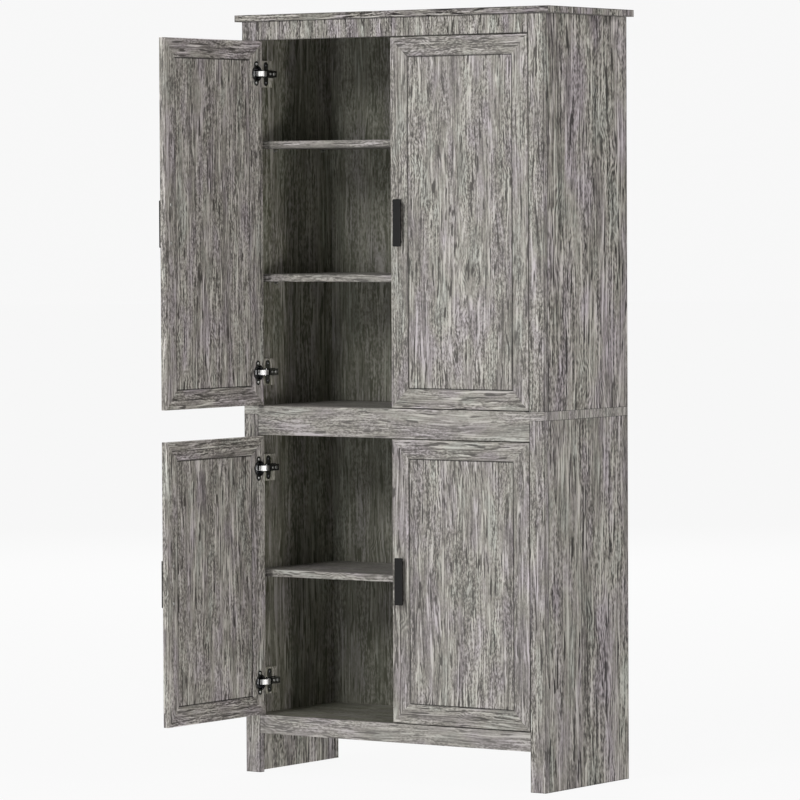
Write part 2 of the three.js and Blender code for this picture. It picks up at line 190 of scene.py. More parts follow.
def set_ramp(ramp, stops):
    """Gives a colour ramp its stops, pairs of place and linear colour."""
    elements = ramp.color_ramp.elements
    while len(elements) < len(stops):
        elements.new(0.5)
    for element, (at, colour) in zip(elements, stops):
        element.position = at
        element.color = (*colour, 1)


def new_material(name):
    """A new material and its empty node tree."""
    material = bpy.data.materials.new(name)
    material.use_nodes = True
    material.node_tree.nodes.clear()
    return material, material.node_tree


# Broad noises that steer the print: how far one patch of each runs across and along the grain, in
# millimetres, and how ragged it is.
BROAD_NOISES = {
    "drift": (90, 330, 1),
    "ring pull": (45, 80, 2),
    "curl zones": (62, 230, 1),
    "stipple zones": (40, 260, 1),
}
DRIFT = 22  # how far the drift moves a streak sideways, in millimetres
RINGS_PULLED = 9  # how many rings' width the pull bends a ring by

# The parts of their noises over which the curls and the stipple fade in, how much the curls
# lighten the grey, and the share of the stipple that is left elsewhere.
CURL_ZONES, CURL_WEIGHT = (0.56, 0.66), -0.17
STIPPLE_ZONES, STIPPLE_ELSEWHERE = (0.42, 0.58), 0.35

# The layers of the print. Width and length are shares of a streak's, detail is how ragged the marks
# are, the window is the part of the noise that shows, and weight is how much it lightens the grey.
# Layers of one seed share their marks, moved sideways by shift. A patchy layer is strong only in
# the stipple zones.
GRAIN_LAYERS = {
    "strips": {
        "seed": 1, "width": 6, "length": 9, "detail": 1, "window": (0.3, 0.7), "weight": 0.17,
    },
    "bundles": {
        "seed": 2, "width": 2, "length": 5, "detail": 2, "window": (0.25, 0.75), "weight": 0.17,
    },
    "lines": {
        "seed": 3, "width": 0.65, "length": 1.7, "detail": 1, "window": (0.25, 0.75),
        "weight": 0.36,
    },
    "fibres": {
        "seed": 4, "width": 0.5, "length": 0.42, "detail": 1, "window": (0.25, 0.75),
        "weight": 0.34,
    },
    "stipple": {
        "seed": 5, "width": 0.55, "length": 0.07, "detail": 1, "window": (0.3, 0.7),
        "weight": 0.56, "patchy": True,
    },
    "threads": {
        "seed": 6, "width": 0.9, "length": 1, "detail": 0, "window": (0.66, 0.74), "weight": 0.45,
    },
    "cracks": {
        "seed": 7, "width": 1.1, "length": 0.5, "detail": 1, "window": (0.615, 0.665),
        "weight": -0.6,
    },
    "crack rims": {
        "seed": 7, "shift": 0.35, "width": 1.1, "length": 0.5, "detail": 1,
        "window": (0.635, 0.695), "weight": 0.4,
    },
}

# The faint casts of the grey, from violet to green, each with its place in a noise, and the size of
# that noise's patches across and along the grain in millimetres.
CASTS = ((0.34, "FAF4FC"), (0.46, "FFFCFB"), (0.56, "FEFDF6"), (0.68, "F9FDF7"))
CAST_ACROSS, CAST_ALONG = 45, 130

# The film's roughness at the bottom of the grain, and how much more it is in the palest streaks.
ROUGHNESS, CHALK_ROUGHNESS = 0.52, 0.14


def grain_group(oak):
    """The printed and embossed grain, from a place in millimetres whose Z runs along the grain."""
    tree = bpy.data.node_groups.new("Weathered oak print", "ShaderNodeTree")
    tree.interface.new_socket("Place", in_out="INPUT", socket_type="NodeSocketVector")
    for name, kind in (("Color", "Color"), ("Height", "Float"), ("Roughness", "Float")):
        tree.interface.new_socket(name, in_out="OUTPUT", socket_type=f"NodeSocket{kind}")
    place = add_node(tree, "NodeGroupInput")
    broad = {}
    for name, (across, along, detail) in BROAD_NOISES.items():
        scaled = add_node(
            tree, "ShaderNodeVectorMath", {"operation": "MULTIPLY", "label": name},
            {0: place, 1: (1 / across, 1 / across, 1 / along)},
        )
        broad[name] = add_node(
            tree, "ShaderNodeTexNoise", {}, {"Vector": scaled, "Scale": 1.0, "Detail": detail}
        )

    # A slow sideways drift keeps the streaks from running dead straight.
    centred = add_node(
        tree, "ShaderNodeVectorMath", {"operation": "SUBTRACT"},
        {0: broad["drift"].outputs["Color"], 1: (0.5, 0.5, 0.5)},
    )
    wavy = add_node(
        tree, "ShaderNodeVectorMath", {"operation": "MULTIPLY_ADD"},
        {0: centred, 1: (DRIFT, DRIFT, 0), 2: place},
    )

    # Curls: close growth rings, pulled about, that show in a few patches only.
    sideways = add_node(
        tree, "ShaderNodeVectorMath", {"operation": "DOT_PRODUCT"}, {0: wavy, 1: (1, 1, 0)}
    )
    bent = add_node(
        tree, "ShaderNodeMath", {"operation": "MULTIPLY_ADD"},
        {0: broad["ring pull"], 1: RINGS_PULLED * oak.ring_spacing, 2: sideways.outputs["Value"]},
    )
    turn = add_node(
        tree, "ShaderNodeMath", {"operation": "MULTIPLY"},
        {0: bent, 1: 2 * math.pi / oak.ring_spacing},
    )
    rings = add_node(tree, "ShaderNodeMath", {"operation": "SINE"}, {0: turn})
    curls = add_node(
        tree, "ShaderNodeMapRange", {"interpolation_type": "SMOOTHSTEP"},
        {
            "Value": broad["curl zones"], "From Min": CURL_ZONES[0], "From Max": CURL_ZONES[1],
            "To Max": CURL_WEIGHT,
        },
    )
    tone = add_node(
        tree, "ShaderNodeMath", {"operation": "MULTIPLY_ADD"}, {0: rings, 1: curls, 2: 0.5}
    )

    patches = add_node(
        tree, "ShaderNodeMapRange", {"interpolation_type": "SMOOTHSTEP"},
        {
            "Value": broad["stipple zones"], "From Min": STIPPLE_ZONES[0],
            "From Max": STIPPLE_ZONES[1], "To Min": STIPPLE_ELSEWHERE,
        },
    )
    for name, layer in GRAIN_LAYERS.items():
        width = layer["width"] * oak.streak_width
        length = layer["length"] * oak.streak_length
        seed, shift = layer["seed"], layer.get("shift", 0)
        offset = (3.1 * seed + shift, 5.3 * seed + shift, 1.9 * seed)
        scaled = add_node(
            tree, "ShaderNodeVectorMath", {"operation": "MULTIPLY_ADD", "label": name},
            {0: wavy, 1: (1 / width, 1 / width, 1 / length), 2: offset},
        )
        noise = add_node(
            tree, "ShaderNodeTexNoise", {},
            {"Vector": scaled, "Scale": 1.0, "Detail": layer["detail"], "Roughness": 0.6},
        )
        # Marks that fill the board lie half above the middle grey. Sparse ones stand out from it.
        low, high = layer["window"]
        below = 0.5 if low < 0.5 else 0.05
        marks = add_node(
            tree, "ShaderNodeMapRange", {},
            {
                "Value": noise, "From Min": low, "From Max": high,
                "To Min": -below, "To Max": 1 - below,
            },
        )
        if layer.get("patchy"):
            marks = add_node(
                tree, "ShaderNodeMath", {"operation": "MULTIPLY"}, {0: marks, 1: patches}
            )
        tone = add_node(
            tree, "ShaderNodeMath", {"operation": "MULTIPLY_ADD"},
            {0: marks, 1: layer["weight"], 2: tone},
        )

    print_colour = add_node(tree, "ShaderNodeValToRGB", {}, {"Fac": tone})
    deep = [(2 * dark + ground) / 3 for dark, ground in zip(oak.dark, oak.ground)]
    pale = [(ground + light) / 2 for ground, light in zip(oak.ground, oak.light)]
    stops = ((0.06, oak.dark), (0.31, deep), (0.52, oak.ground), (0.73, pale), (0.94, oak.light))
    set_ramp(print_colour, stops)

    # The grey leans faintly to violet in some patches and to straw or green in others.
    scaled = add_node(
        tree, "ShaderNodeVectorMath", {"operation": "MULTIPLY"},
        {0: wavy, 1: (1 / CAST_ACROSS, 1 / CAST_ACROSS, 1 / CAST_ALONG)},
    )
    noise = add_node(tree, "ShaderNodeTexNoise", {}, {"Vector": scaled, "Scale": 1.0, "Detail": 2})
    cast = add_node(tree, "ShaderNodeValToRGB", {}, {"Fac": noise})
    set_ramp(cast, [(at, linear(hue)) for at, hue in CASTS])
    colour = add_node(
        tree, "ShaderNodeMix", {"data_type": "RGBA", "blend_type": "MULTIPLY"},
        {0: 1.0, 6: print_colour, 7: cast},
    )

    # Pale streaks are duller than the dark grain between them.
    rough = add_node(
        tree, "ShaderNodeMath", {"operation": "MULTIPLY_ADD"},
        {0: tone, 1: CHALK_ROUGHNESS, 2: ROUGHNESS},
    )
    add_node(tree, "NodeGroupOutput", {}, {"Color": colour, "Height": tone, "Roughness": rough})


# How a board's edge shows: where the tint starts and ends, in millimetres from the edge, and its
# brightness against the board's. Most boards of the case are darkened along their edges, as painted
# shade in the joints where boards meet. The two lower rails and the deck carry a fainter painted
# shade there, door frames carry a painted highlight along their arrises, and a door panel's thinned
# edge is painted with the shade of the frame's groove.
DARK_EDGE = (0.4, 2.4, 0.4)
FAINT_SHADE_EDGE = (0.3, 1.2, 0.86)
HIGHLIGHT_EDGE = (0.3, 1.8, 1.2)
GROOVE_EDGE = (5.0, 5.9, 0.22)

# Painted shade in the lines of a frame's moulding: millimetres from the frame's outer edge, half
# their width, and how much they darken.
QUIRK_SHADES = ((21.5, 0.8, 0.3), (30.6, 0.6, 0.16), (43.9, 0.6, 0.4))

# A side panel, in millimetres: its thickness, the height of its leg, and how far into the wall a
# point still counts as its inner face's, or out of it as a hinge block's. Then how calm and olive
# the inner face is above the leg, which is painted shade, and how much brighter the blocks and the
# leg's inner face are painted, which is painted light.
WALL = 15
LEG_HEIGHT = 125
FACE_DEPTH = 1
BLOCK_STEP = 0.1
INNER_CALM = 0.4
BLOCK_GAIN = 0.5
LEG_GAIN = 0.2

# A board's film, where nothing sets it apart. Its grain runs along the axis grain. Its shade is its
# brightness, coarse is how many times wider and longer than usual its marks are, and calm is how
# much fainter they are, or bolder below zero. It wraps the edges, so an end face carries the grain
# along the axis ends, or else along its longer side. A door frame's members meet in mitres, and the
# grain turns there: across is the axis along which its top and bottom members run. The film of a
# board inside is calmed to a darker olive, which is painted shade, and wall marks a side panel.
PLAIN_FILM = {
    "grain": "Z",
    "shade": 1.0,
    "coarse": 1.0,
    "calm": 0.0,
    "ends": None,
    "across": None,
    "edge": DARK_EDGE,
    "inside": False,
    "wall": False,
}


def insets_from_faces(tree, xyz, box):
    """How far inside the board's faces a point lies along each axis, in millimetres."""
    insets = []
    for at, low, high in zip(xyz, *box):
        middle, half = (high + low) / 2 / MM, (high - low) / 2 / MM
        off = add_node(tree, "ShaderNodeMath", {"operation": "SUBTRACT"}, {0: at, 1: middle})
        off = add_node(tree, "ShaderNodeMath", {"operation": "ABSOLUTE"}, {0: off})
        inset = add_node(tree, "ShaderNodeMath", {"operation": "SUBTRACT"}, {0: half, 1: off})
        insets.append(inset)
    return insets


def grain_place(tree, xyz, normal, insets, box, film):
    """A point's place with the grain along Z. The grain turns at the mitres or on the end faces."""
    main = AXES.index(film["grain"])
    if film["across"]:
        other = AXES.index(film["across"])
        turned = add_node(
            tree, "ShaderNodeMath", {"operation": "LESS_THAN"},
            {0: insets[main], 1: insets[other]},
        )
    else:
        size = box[1] - box[0]
        longer = max((i for i in range(3) if i != main), key=lambda i: size[i])
        other = AXES.index(film["ends"]) if film["ends"] else longer
        end_on = add_node(tree, "ShaderNodeSeparateXYZ", {}, {0: normal}).outputs[main]
        end_on = add_node(tree, "ShaderNodeMath", {"operation": "ABSOLUTE"}, {0: end_on})
        turned = add_node(
            tree, "ShaderNodeMath", {"operation": "GREATER_THAN"}, {0: end_on, 1: 0.7}
        )
    ways = []
    for axis in (main, other):
        sides = [i for i in range(3) if i != axis]
        links = {"X": xyz[sides[0]], "Y": xyz[sides[1]], "Z": xyz[axis]}
        ways.append(add_node(tree, "ShaderNodeCombineXYZ", {}, links))
    return add_node(
        tree, "ShaderNodeMix", {"data_type": "VECTOR"}, {0: turned, 4: ways[0], 5: ways[1]}
    )


def edge_brightness(tree, insets, film):
    """How bright the film is painted at and near a board's edges, with painted shade at most edges
    and a painted highlight on door frames' arrises, and the painted shade in the lines of a door's
    frame.
    """
    # A point on a face has one inset of zero, so the middle one of the three is its way to the
    # nearest edge.
    lower = add_node(
        tree, "ShaderNodeMath", {"operation": "MINIMUM"}, {0: insets[0], 1: insets[1]}
    )
    upper = add_node(
        tree, "ShaderNodeMath", {"operation": "MAXIMUM"}, {0: insets[0], 1: insets[1]}
    )
    upper = add_node(tree, "ShaderNodeMath", {"operation": "MINIMUM"}, {0: upper, 1: insets[2]})
    to_edge = add_node(tree, "ShaderNodeMath", {"operation": "MAXIMUM"}, {0: lower, 1: upper})
    start, end, tint = film["edge"]
    bright = add_node(
        tree, "ShaderNodeMapRange", {"interpolation_type": "SMOOTHSTEP"},
        {
            "Value": to_edge, "From Min": start, "From Max": end,
            "To Min": tint * film["shade"], "To Max": film["shade"],
        },
    )
    if film["across"]:
        along, across = (insets[AXES.index(film[way])] for way in ("grain", "across"))
        from_rim = add_node(
            tree, "ShaderNodeMath", {"operation": "MINIMUM"}, {0: along, 1: across}
        )
        # Painted shade in the grooves of the moulding.
        for at, reach, loss in QUIRK_SHADES:
            line = add_node(
                tree, "ShaderNodeMath", {"operation": "COMPARE"}, {0: from_rim, 1: at, 2: reach}
            )
            bright = add_node(
                tree, "ShaderNodeMath", {"operation": "MULTIPLY_ADD"},
                {0: line, 1: -loss, 2: bright},
            )
    return bright


def wall_zones(tree, xyz, box):
    """Where a side panel's hinge blocks are, its leg's inner face, and its inner face above."""
    from_middle = add_node(tree, "ShaderNodeMath", {"operation": "ABSOLUTE"}, {0: xyz[0]})
    inner_face = max(abs(corner.x) for corner in box) / MM - WALL
    block = add_node(
        tree, "ShaderNodeMath", {"operation": "LESS_THAN"},
        {0: from_middle, 1: inner_face - BLOCK_STEP},
    )
    inner = add_node(
        tree, "ShaderNodeMath", {"operation": "LESS_THAN"},
        {0: from_middle, 1: inner_face + FACE_DEPTH},
    )
    above = add_node(
        tree, "ShaderNodeMath", {"operation": "GREATER_THAN"}, {0: xyz[2], 1: LEG_HEIGHT}
    )
    leg = add_node(tree, "ShaderNodeMath", {"operation": "GREATER_THAN"}, {0: inner, 1: above})
    inside = add_node(tree, "ShaderNodeMath", {"operation": "MULTIPLY"}, {0: inner, 1: above})
    return block, leg, inside


def oak_material(name, oak, box, seed, facts):
    """Oak-print laminate on chipboard: matt paper film, embossed along the printed grain.

    box is the board's two corners in metres, seed picks its part of the print, and facts sets its
    film apart from a plain one.
    """
    film = {**PLAIN_FILM, **facts}
    material, tree = new_material(name)
    place = add_node(tree, "ShaderNodeTexCoord").outputs
    in_mm = add_node(
        tree, "ShaderNodeVectorMath", {"operation": "SCALE"}, {0: place["Object"], "Scale": 1 / MM}
    )
    xyz = add_node(tree, "ShaderNodeSeparateXYZ", {}, {0: in_mm}).outputs
    insets = insets_from_faces(tree, xyz, box)
    placed = grain_place(tree, xyz, place["Normal"], insets, box, film)
    scale = 1 / film["coarse"]
    moved = add_node(
        tree, "ShaderNodeVectorMath", {"operation": "MULTIPLY_ADD"},
        {0: placed, 1: (scale, scale, scale), 2: (137.0 * seed, 71.0 * seed, 913.0 * seed)},
    )
    printed = add_node(
        tree, "ShaderNodeGroup", {"node_tree": bpy.data.node_groups["Weathered oak print"]},
        {"Place": moved},
    ).outputs
    # A board inside is calmed to a darker olive, which is painted shade.
    calmed = add_node(
        tree, "ShaderNodeMix", {"data_type": "RGBA", "clamp_factor": False},
        {
            0: film["calm"], 6: printed["Color"],
            7: (*(oak.inner if film["inside"] else oak.ground), 1),
        },
    )
    bright = edge_brightness(tree, insets, film)
    if film["wall"]:
        block, leg, inside = wall_zones(tree, xyz, box)
        # Painted light: the hinge blocks and the leg's inner face are brightened.
        for zone, gain in ((block, BLOCK_GAIN), (leg, LEG_GAIN)):
            bright = add_node(
                tree, "ShaderNodeMath", {"operation": "MULTIPLY_ADD"},
                {0: zone, 1: gain, 2: bright},
            )
        # Painted shade: the inner face above the leg is calmed to a darker olive.
        veil = add_node(
            tree, "ShaderNodeMath", {"operation": "MULTIPLY"}, {0: inside, 1: INNER_CALM}
        )
        calmed = add_node(
            tree, "ShaderNodeMix", {"data_type": "RGBA"}, {0: veil, 6: calmed, 7: (*oak.inner, 1)}
        )
    dimmed = add_node(
        tree, "ShaderNodeVectorMath", {"operation": "SCALE"}, {0: calmed, "Scale": bright}
    )
    bump = add_node(
        tree, "ShaderNodeBump", {},
        {"Strength": 1.0, "Distance": oak.relief, "Height": printed["Height"]},
    )
    shader = add_node(
        tree, "ShaderNodeBsdfPrincipled", {},
        {
            "Base Color": dimmed,
            "Roughness": printed["Roughness"],
            "IOR": 1.5,
            "Specular IOR Level": 0.35,
            "Normal": bump,
        },
    )
    add_node(tree, "ShaderNodeOutputMaterial", {}, {"Surface": shader})
    return material


def hard_material(name, colour, roughness, grit, depth, metallic=1.0, specular=0.5):
    """A plated, coated or moulded skin with a fine grit of this size and depth in millimetres."""
    material, tree = new_material(name)
    place = add_node(tree, "ShaderNodeTexCoord").outputs["Object"]
    fine = add_node(
        tree, "ShaderNodeTexNoise", {},
        {"Vector": place, "Scale": 1 / (grit * MM), "Detail": 3.0, "Roughness": 0.6},
    )
    # Broad patches, 25 times the grit, are a little duller or brighter than the rest.
    broad = add_node(
        tree, "ShaderNodeTexNoise", {},
        {"Vector": place, "Scale": 1 / (25 * grit * MM), "Detail": 2.0, "Roughness": 0.5},
    )
    dullness = add_node(
        tree, "ShaderNodeMapRange", {},
        {
            "Value": broad, "From Min": 0.3, "From Max": 0.7,
            "To Min": 0.8 * roughness, "To Max": 1.2 * roughness,
        },
    )
    # The grit's hollows are a little darker.
    ramp = add_node(tree, "ShaderNodeValToRGB", {}, {"Fac": fine})
    base = linear(colour)
    set_ramp(ramp, ((0.3, [0.86 * c for c in base]), (0.7, base)))
    bump = add_node(
        tree, "ShaderNodeBump", {}, {"Strength": 1.0, "Distance": depth * MM, "Height": fine}
    )
    shader = add_node(
        tree, "ShaderNodeBsdfPrincipled", {},
        {
            "Base Color": ramp,
            "Metallic": metallic,
            "Roughness": dullness,
            "Specular IOR Level": specular,
            "Normal": bump,
        },
    )
    add_node(tree, "ShaderNodeOutputMaterial", {}, {"Surface": shader})


# What sets the film of each board of the case apart from a plain one. print_of names the board
# whose part of the print it shares: the deck's runs on from the rail below.
CASE_FILMS = {
    "top_board": {"grain": "X", "shade": 0.85, "coarse": 0.9, "calm": -0.15, "ends": "Z"},
    "mid_deck": {
        "grain": "X", "calm": 0.33, "ends": "Z", "edge": FAINT_SHADE_EDGE, "print_of": "mid_rail",
    },
    "frieze_rail": {"shade": 0.92, "coarse": 0.7},
    "mid_rail": {"grain": "X", "calm": 0.33, "edge": FAINT_SHADE_EDGE},
    "bottom_rail": {
        "grain": "X", "shade": 1.03, "coarse": 1.1, "calm": 0.4, "edge": FAINT_SHADE_EDGE,
        "print_of": "frieze_rail",
    },
    "lower_floor": {"grain": "X", "shade": 0.9, "coarse": 1.2, "calm": 0.4, "inside": True},
    # The back panels are painted darker, as painted shade inside the case.
    "upper_back_panel": {"shade": 0.56, "coarse": 1.3, "calm": 0.45, "inside": True},
    "lower_back_panel": {"shade": 0.52, "coarse": 1.3, "calm": 0.45, "inside": True},
    **{shelf: {"grain": "X", "calm": 0.3} for shelf in SHELVES},
}
SIDE_FILM = {"coarse": 1.5, "calm": -0.12, "wall": True}
# The side panels are painted darker than the front, the lower ones more, as painted shade for how
# the light falls on the sides.
SIDE_SHADES = {"upper": 0.9, "lower": 0.85}
STILE_FILM = {"shade": 0.94, "calm": 0.1}

# A door's film. A door that is stored open lies along Y, and its inner face shows; its film is
# painted brighter than a shut door's, as painted light on that inner face. Then how a frame's film
# and a panel's differ from their door's.
OPEN_DOOR = {"across": "Y", "shade": 1.06, "calm": 0.08}
SHUT_DOOR = {"across": "X", "shade": 0.99, "calm": 0.16}
FRAME_SHADE, FRAME_CALM = 1.02, 0.06
PANEL_SHADE = 0.98


# Meshes


def dress(node, material):
    """Gives a CAD node this material on all its faces."""
    data = frame["nodes"][node].data
    data.materials.clear()
    data.materials.append(material)


def new_piece(name, mesh_data, body, material):
    """Makes an object of a bmesh in the frame's own place and ties it to its body."""
    bmesh.ops.recalc_face_normals(mesh_data, faces=mesh_data.faces)
    data = bpy.data.meshes.new(name)
    mesh_data.to_mesh(data)
    mesh_data.free()
    data.materials.append(bpy.data.materials[material])
    for polygon in data.polygons:
        polygon.use_smooth = True
    data.set_sharp_from_angle(angle=math.radians(35))
    piece = bpy.data.objects.new(name, data)
    bpy.context.scene.collection.objects.link(piece)
    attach(piece, body)


def door_matrix(door):
    """From a door's own place, at its pivot with Y into the cupboard, to the frame's."""
    side = DOORS[door]["side"]
    joint = next(j for j in frame["joints"] if j["child"] == door)
    pivot = Vector((joint["pos_m"][0], joint["pos_m"][1], 0))
    turn = Matrix.Rotation(-side * math.radians(DOORS[door]["open"]), 4, "Z")
    return Matrix.Translation(pivot) @ turn


def facing(point, direction):
    """A place at this point whose Z looks along this direction."""
    turn = Vector((0, 0, 1)).rotation_difference(direction).to_matrix().to_4x4()
    return Matrix.Translation(point) @ turn


def add_ring(mesh_data, place, radius, height, count):
    """The corners of a circle about the place's Z. One of no radius is a single corner."""
    if radius == 0:
        return [mesh_data.verts.new(place @ Vector((0, 0, height)))]
    angles = [2 * math.pi * i / count for i in range(count)]
    return [
        mesh_data.verts.new(place @ Vector((radius * math.cos(a), radius * math.sin(a), height)))
        for a in angles
    ]


def add_turned(mesh_data, place, profile, count=20):
    """A turned skin through pairs of radius and height. Returns its first and last ring."""
    rings = [add_ring(mesh_data, place, radius, height, count) for radius, height in profile]
    for lower, upper in zip(rings, rings[1:]):
        for i in range(count):
            j = (i + 1) % count
            corners = [
                lower[i % len(lower)], lower[j % len(lower)],
                upper[j % len(upper)], upper[i % len(upper)],
            ]
            mesh_data.faces.new(list(dict.fromkeys(corners)))
    return rings[0], rings[-1]


# A pan head's outline from its seat to its top, as shares of its radius and rise, and its cross
# recess: how far an arm reaches and half its width, as shares of the radius, how much narrower its
# floor is than its mouth, and how high the floor lies, as a share of the rise.
PAN_HEAD = ((1.0, 0.0), (1.0, 0.35), (0.9, 0.72), (0.68, 0.95))
RECESS_REACH = 0.58
RECESS_HALF_WIDTH = 0.13
RECESS_TAPER = 0.75
RECESS_FLOOR = 0.3


def add_screw(mesh_data, place, radius, rise, turn):
    """A pan head with a cross recess, on the place's origin with its top along the place's Z.

    turn is the angle in radians at which the recess came to rest.
    """
    profile = [(share * radius, lift * rise) for share, lift in PAN_HEAD]
    seat, top = add_turned(mesh_data, place, profile)
    mesh_data.faces.new(seat[::-1])
    reach, half = RECESS_REACH * radius, RECESS_HALF_WIDTH * radius
    outline = []
    for quarter in range(4):
        angle = turn + quarter * math.pi / 2
        cos, sin = math.cos(angle), math.sin(angle)
        for x, y in ((reach, -half), (reach, half), (half, half)):
            outline.append(Vector((x * cos - y * sin, x * sin + y * cos, rise)))
    taper = Vector((RECESS_TAPER, RECESS_TAPER, RECESS_FLOOR))
    mouth = [mesh_data.verts.new(place @ point) for point in outline]
    floor = [mesh_data.verts.new(place @ (taper * point)) for point in outline]
    count = len(outline)
    for i in range(count):
        j = (i + 1) % count
        mesh_data.faces.new((mouth[j], mouth[i], floor[i], floor[j]))
    mesh_data.faces.new(floor)
    edges = [
        mesh_data.edges.get(pair)
        for loop in (top, mouth)
        for pair in zip(loop, loop[1:] + loop[:1])
    ]
    bmesh.ops.triangle_fill(mesh_data, use_beauty=True, edges=edges)


# Operators


class CUPBOARD_OT_materials(bpy.types.Operator):
    """Mix the coated and plated metals, the plastic and the oak print"""

    bl_idname = "cupboard.materials"
    bl_label = "Mix materials"

    def execute(self, context):
        grain_group(context.scene.cupboard_oak)
        # Powder-coated zinc: a satin black skin with a faint orange-peel grit.
        hard_material(
            "black_powder_coat", "121212", 0.46, 0.9, 0.03, metallic=0.0, specular=0.25
        )
        # Nickel on pressed steel: dark and smooth, so it mirrors the tones that stand round it.
        hard_material("nickel_plated_steel", "7E7F81", 0.16, 1.2, 0.006)
        # Tumbled zinc on the links: a satin white metal that spreads the light over its arch.
        hard_material("tumbled_zinc_steel", "E9E9E7", 0.46, 0.9, 0.02)
        # Zinc-plated wood screws: plain bright steel with soft highlights.
        hard_material("zinc_plated_screw", "B9B9B6", 0.33, 0.8, 0.02)
        # Moulded polypropylene: a grey cap with a soft eggshell skin.
        hard_material("grey_moulded_cap", "8D8A85", 0.5, 1.0, 0.02, metallic=0.0)
        return {"FINISHED"}


class CUPBOARD_OT_case(bpy.types.Operator):
    """Cover the boards of the case in oak laminate"""

    bl_idname = "cupboard.case"
    bl_label = "Dress the case"

    def execute(self, context):
        oak = context.scene.cupboard_oak
        films = dict(CASE_FILMS)
        for hand in ("left", "right"):
            for tier, shade in SIDE_SHADES.items():
                films[f"{tier}_{hand}_side"] = {**SIDE_FILM, "shade": shade}
                films[f"{tier}_{hand}_stile"] = STILE_FILM
        seeds = {node: seed for seed, node in enumerate(sorted(films), 1)}
        for node, facts in films.items():
            seed = seeds[facts.get("print_of", node)]
            dress(node, oak_material(f"oak_{node}", oak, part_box(node), seed, facts))
        return {"FINISHED"}


class CUPBOARD_OT_doors(bpy.types.Operator):
    """Cover the doors' mitred frames and their panels in oak laminate"""

    bl_idname = "cupboard.doors"
    bl_label = "Dress the doors"

    def execute(self, context):
        oak = context.scene.cupboard_oak
        for seed, (door, facts) in enumerate(sorted(DOORS.items()), 41):
            # An open door's film is painted brighter, as painted light on its inner face.
            film = OPEN_DOOR if facts["open"] else SHUT_DOOR
            frame_film = {
                "shade": FRAME_SHADE * film["shade"], "calm": film["calm"] + FRAME_CALM,
                "edge": HIGHLIGHT_EDGE, "across": film["across"],
            }
            panel_film = {
                "shade": PANEL_SHADE * film["shade"], "calm": film["calm"], "edge": GROOVE_EDGE,
            }
            parts = (("frame", seed, frame_film), ("panel", seed + 10, panel_film))
            for part, its_seed, its_film in parts:
                node = f"{door}_{part}"
                dress(node, oak_material(f"oak_{node}", oak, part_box(node), its_seed, its_film))
        return {"FINISHED"}


class CUPBOARD_OT_hardware(bpy.types.Operator):
    """Coat the handles black and plate the hinges"""

    bl_idname = "cupboard.hardware"
    bl_label = "Dress handles and hinges"

    def execute(self, context):
        for door in DOORS:
            dress(f"{door}_handle", bpy.data.materials["black_powder_coat"])
            for end in HINGE_ENDS:
                for part in ("cup", "arm"):
                    dress(f"{door}_{end}_hinge_{part}", bpy.data.materials["nickel_plated_steel"])
                dress(f"{door}_{end}_hinge_link", bpy.data.materials["tumbled_zinc_steel"])
        return {"FINISHED"}


# Where a hinge's screws stand, in millimetres. A cup's two: along the door from its pivot, into its
# thickness, and up and down from the hinge's middle. A plate's two: out from the block, behind the
# cupboard's front, and up and down. An arm's two: behind the front. Each has its head's rise too.
CUP_SCREWS = {"along": 24.5, "deep": 16.1, "up": 22.5, "rise": 1.9}
PLATE_SCREWS = {"out": 2, "behind": 37, "up": 21, "rise": 2.0}
ARM_SCREWS = (
    {"behind": 39, "rise": 1.2, "size": 0.76},
    {"behind": 53, "rise": 1.6, "size": 1.0},
)


class CUPBOARD_OT_hinge_screws(bpy.types.Operator):
    """Drive the screws of the hinge cups, the mounting plates and the arms"""

    bl_idname = "cupboard.hinge_screws"
    bl_label = "Add hinge screws"

    def execute(self, context):
        sizes = context.scene.cupboard_hardware
        wood = sizes.wood_screw / 2
        for door, facts in DOORS.items():
            side = facts["side"]
            to_frame = door_matrix(door)
            inwards = Vector((side, 0, 0))
            for end in HINGE_ENDS:
                height, block_face, open_face = self.arm_places(door, end, side)
                cup, plate, arm = bmesh.new(), bmesh.new(), bmesh.new()
                for up in (-1, 1):
                    spot = Vector((
                        side * CUP_SCREWS["along"] * MM,
                        CUP_SCREWS["deep"] * MM,
                        height + up * CUP_SCREWS["up"] * MM,
                    ))
                    place = to_frame @ facing(spot, Vector((0, 1, 0)))
                    add_screw(cup, place, wood, CUP_SCREWS["rise"] * MM, 0.3 + up)
                    spot = Vector((
                        block_face + side * PLATE_SCREWS["out"] * MM,
                        PLATE_SCREWS["behind"] * MM,
                        height + up * PLATE_SCREWS["up"] * MM,
                    ))
                    place = facing(spot, inwards)
                    add_screw(plate, place, wood, PLATE_SCREWS["rise"] * MM, 0.9 * up)
                for cam in ARM_SCREWS:
                    spot = Vector((open_face, cam["behind"] * MM, height))
                    radius = cam["size"] * sizes.cam_screw / 2
                    add_screw(arm, facing(spot, inwards), radius, cam["rise"] * MM, 0.4)
                for part, made, body, metal in (
                    ("cup", cup, door, "zinc_plated_screw"),
                    ("plate", plate, "case", "nickel_plated_steel"),
                    ("arm", arm, "case", "zinc_plated_screw"),
                ):
                    new_piece(f"{door}_{end}_{part}_screws", made, body, metal)
        return {"FINISHED"}

    @staticmethod
    def arm_places(door, end, side):
        """A hinge's height, where its arm meets the block, and where it faces the opening."""
        cup_low, cup_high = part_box(f"{door}_{end}_hinge_cup")
        low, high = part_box(f"{door}_{end}_hinge_arm")
        faces = (low.x, high.x) if side > 0 else (high.x, low.x)
        return (cup_low.z + cup_high.z) / 2, *faces


# A handle's two screws, in millimetres: into the door's thickness, up and down from the handle's
# middle, and their heads' rise.
HANDLE_SCREWS = {"deep": 12.8, "up": 45, "rise": 2.2}


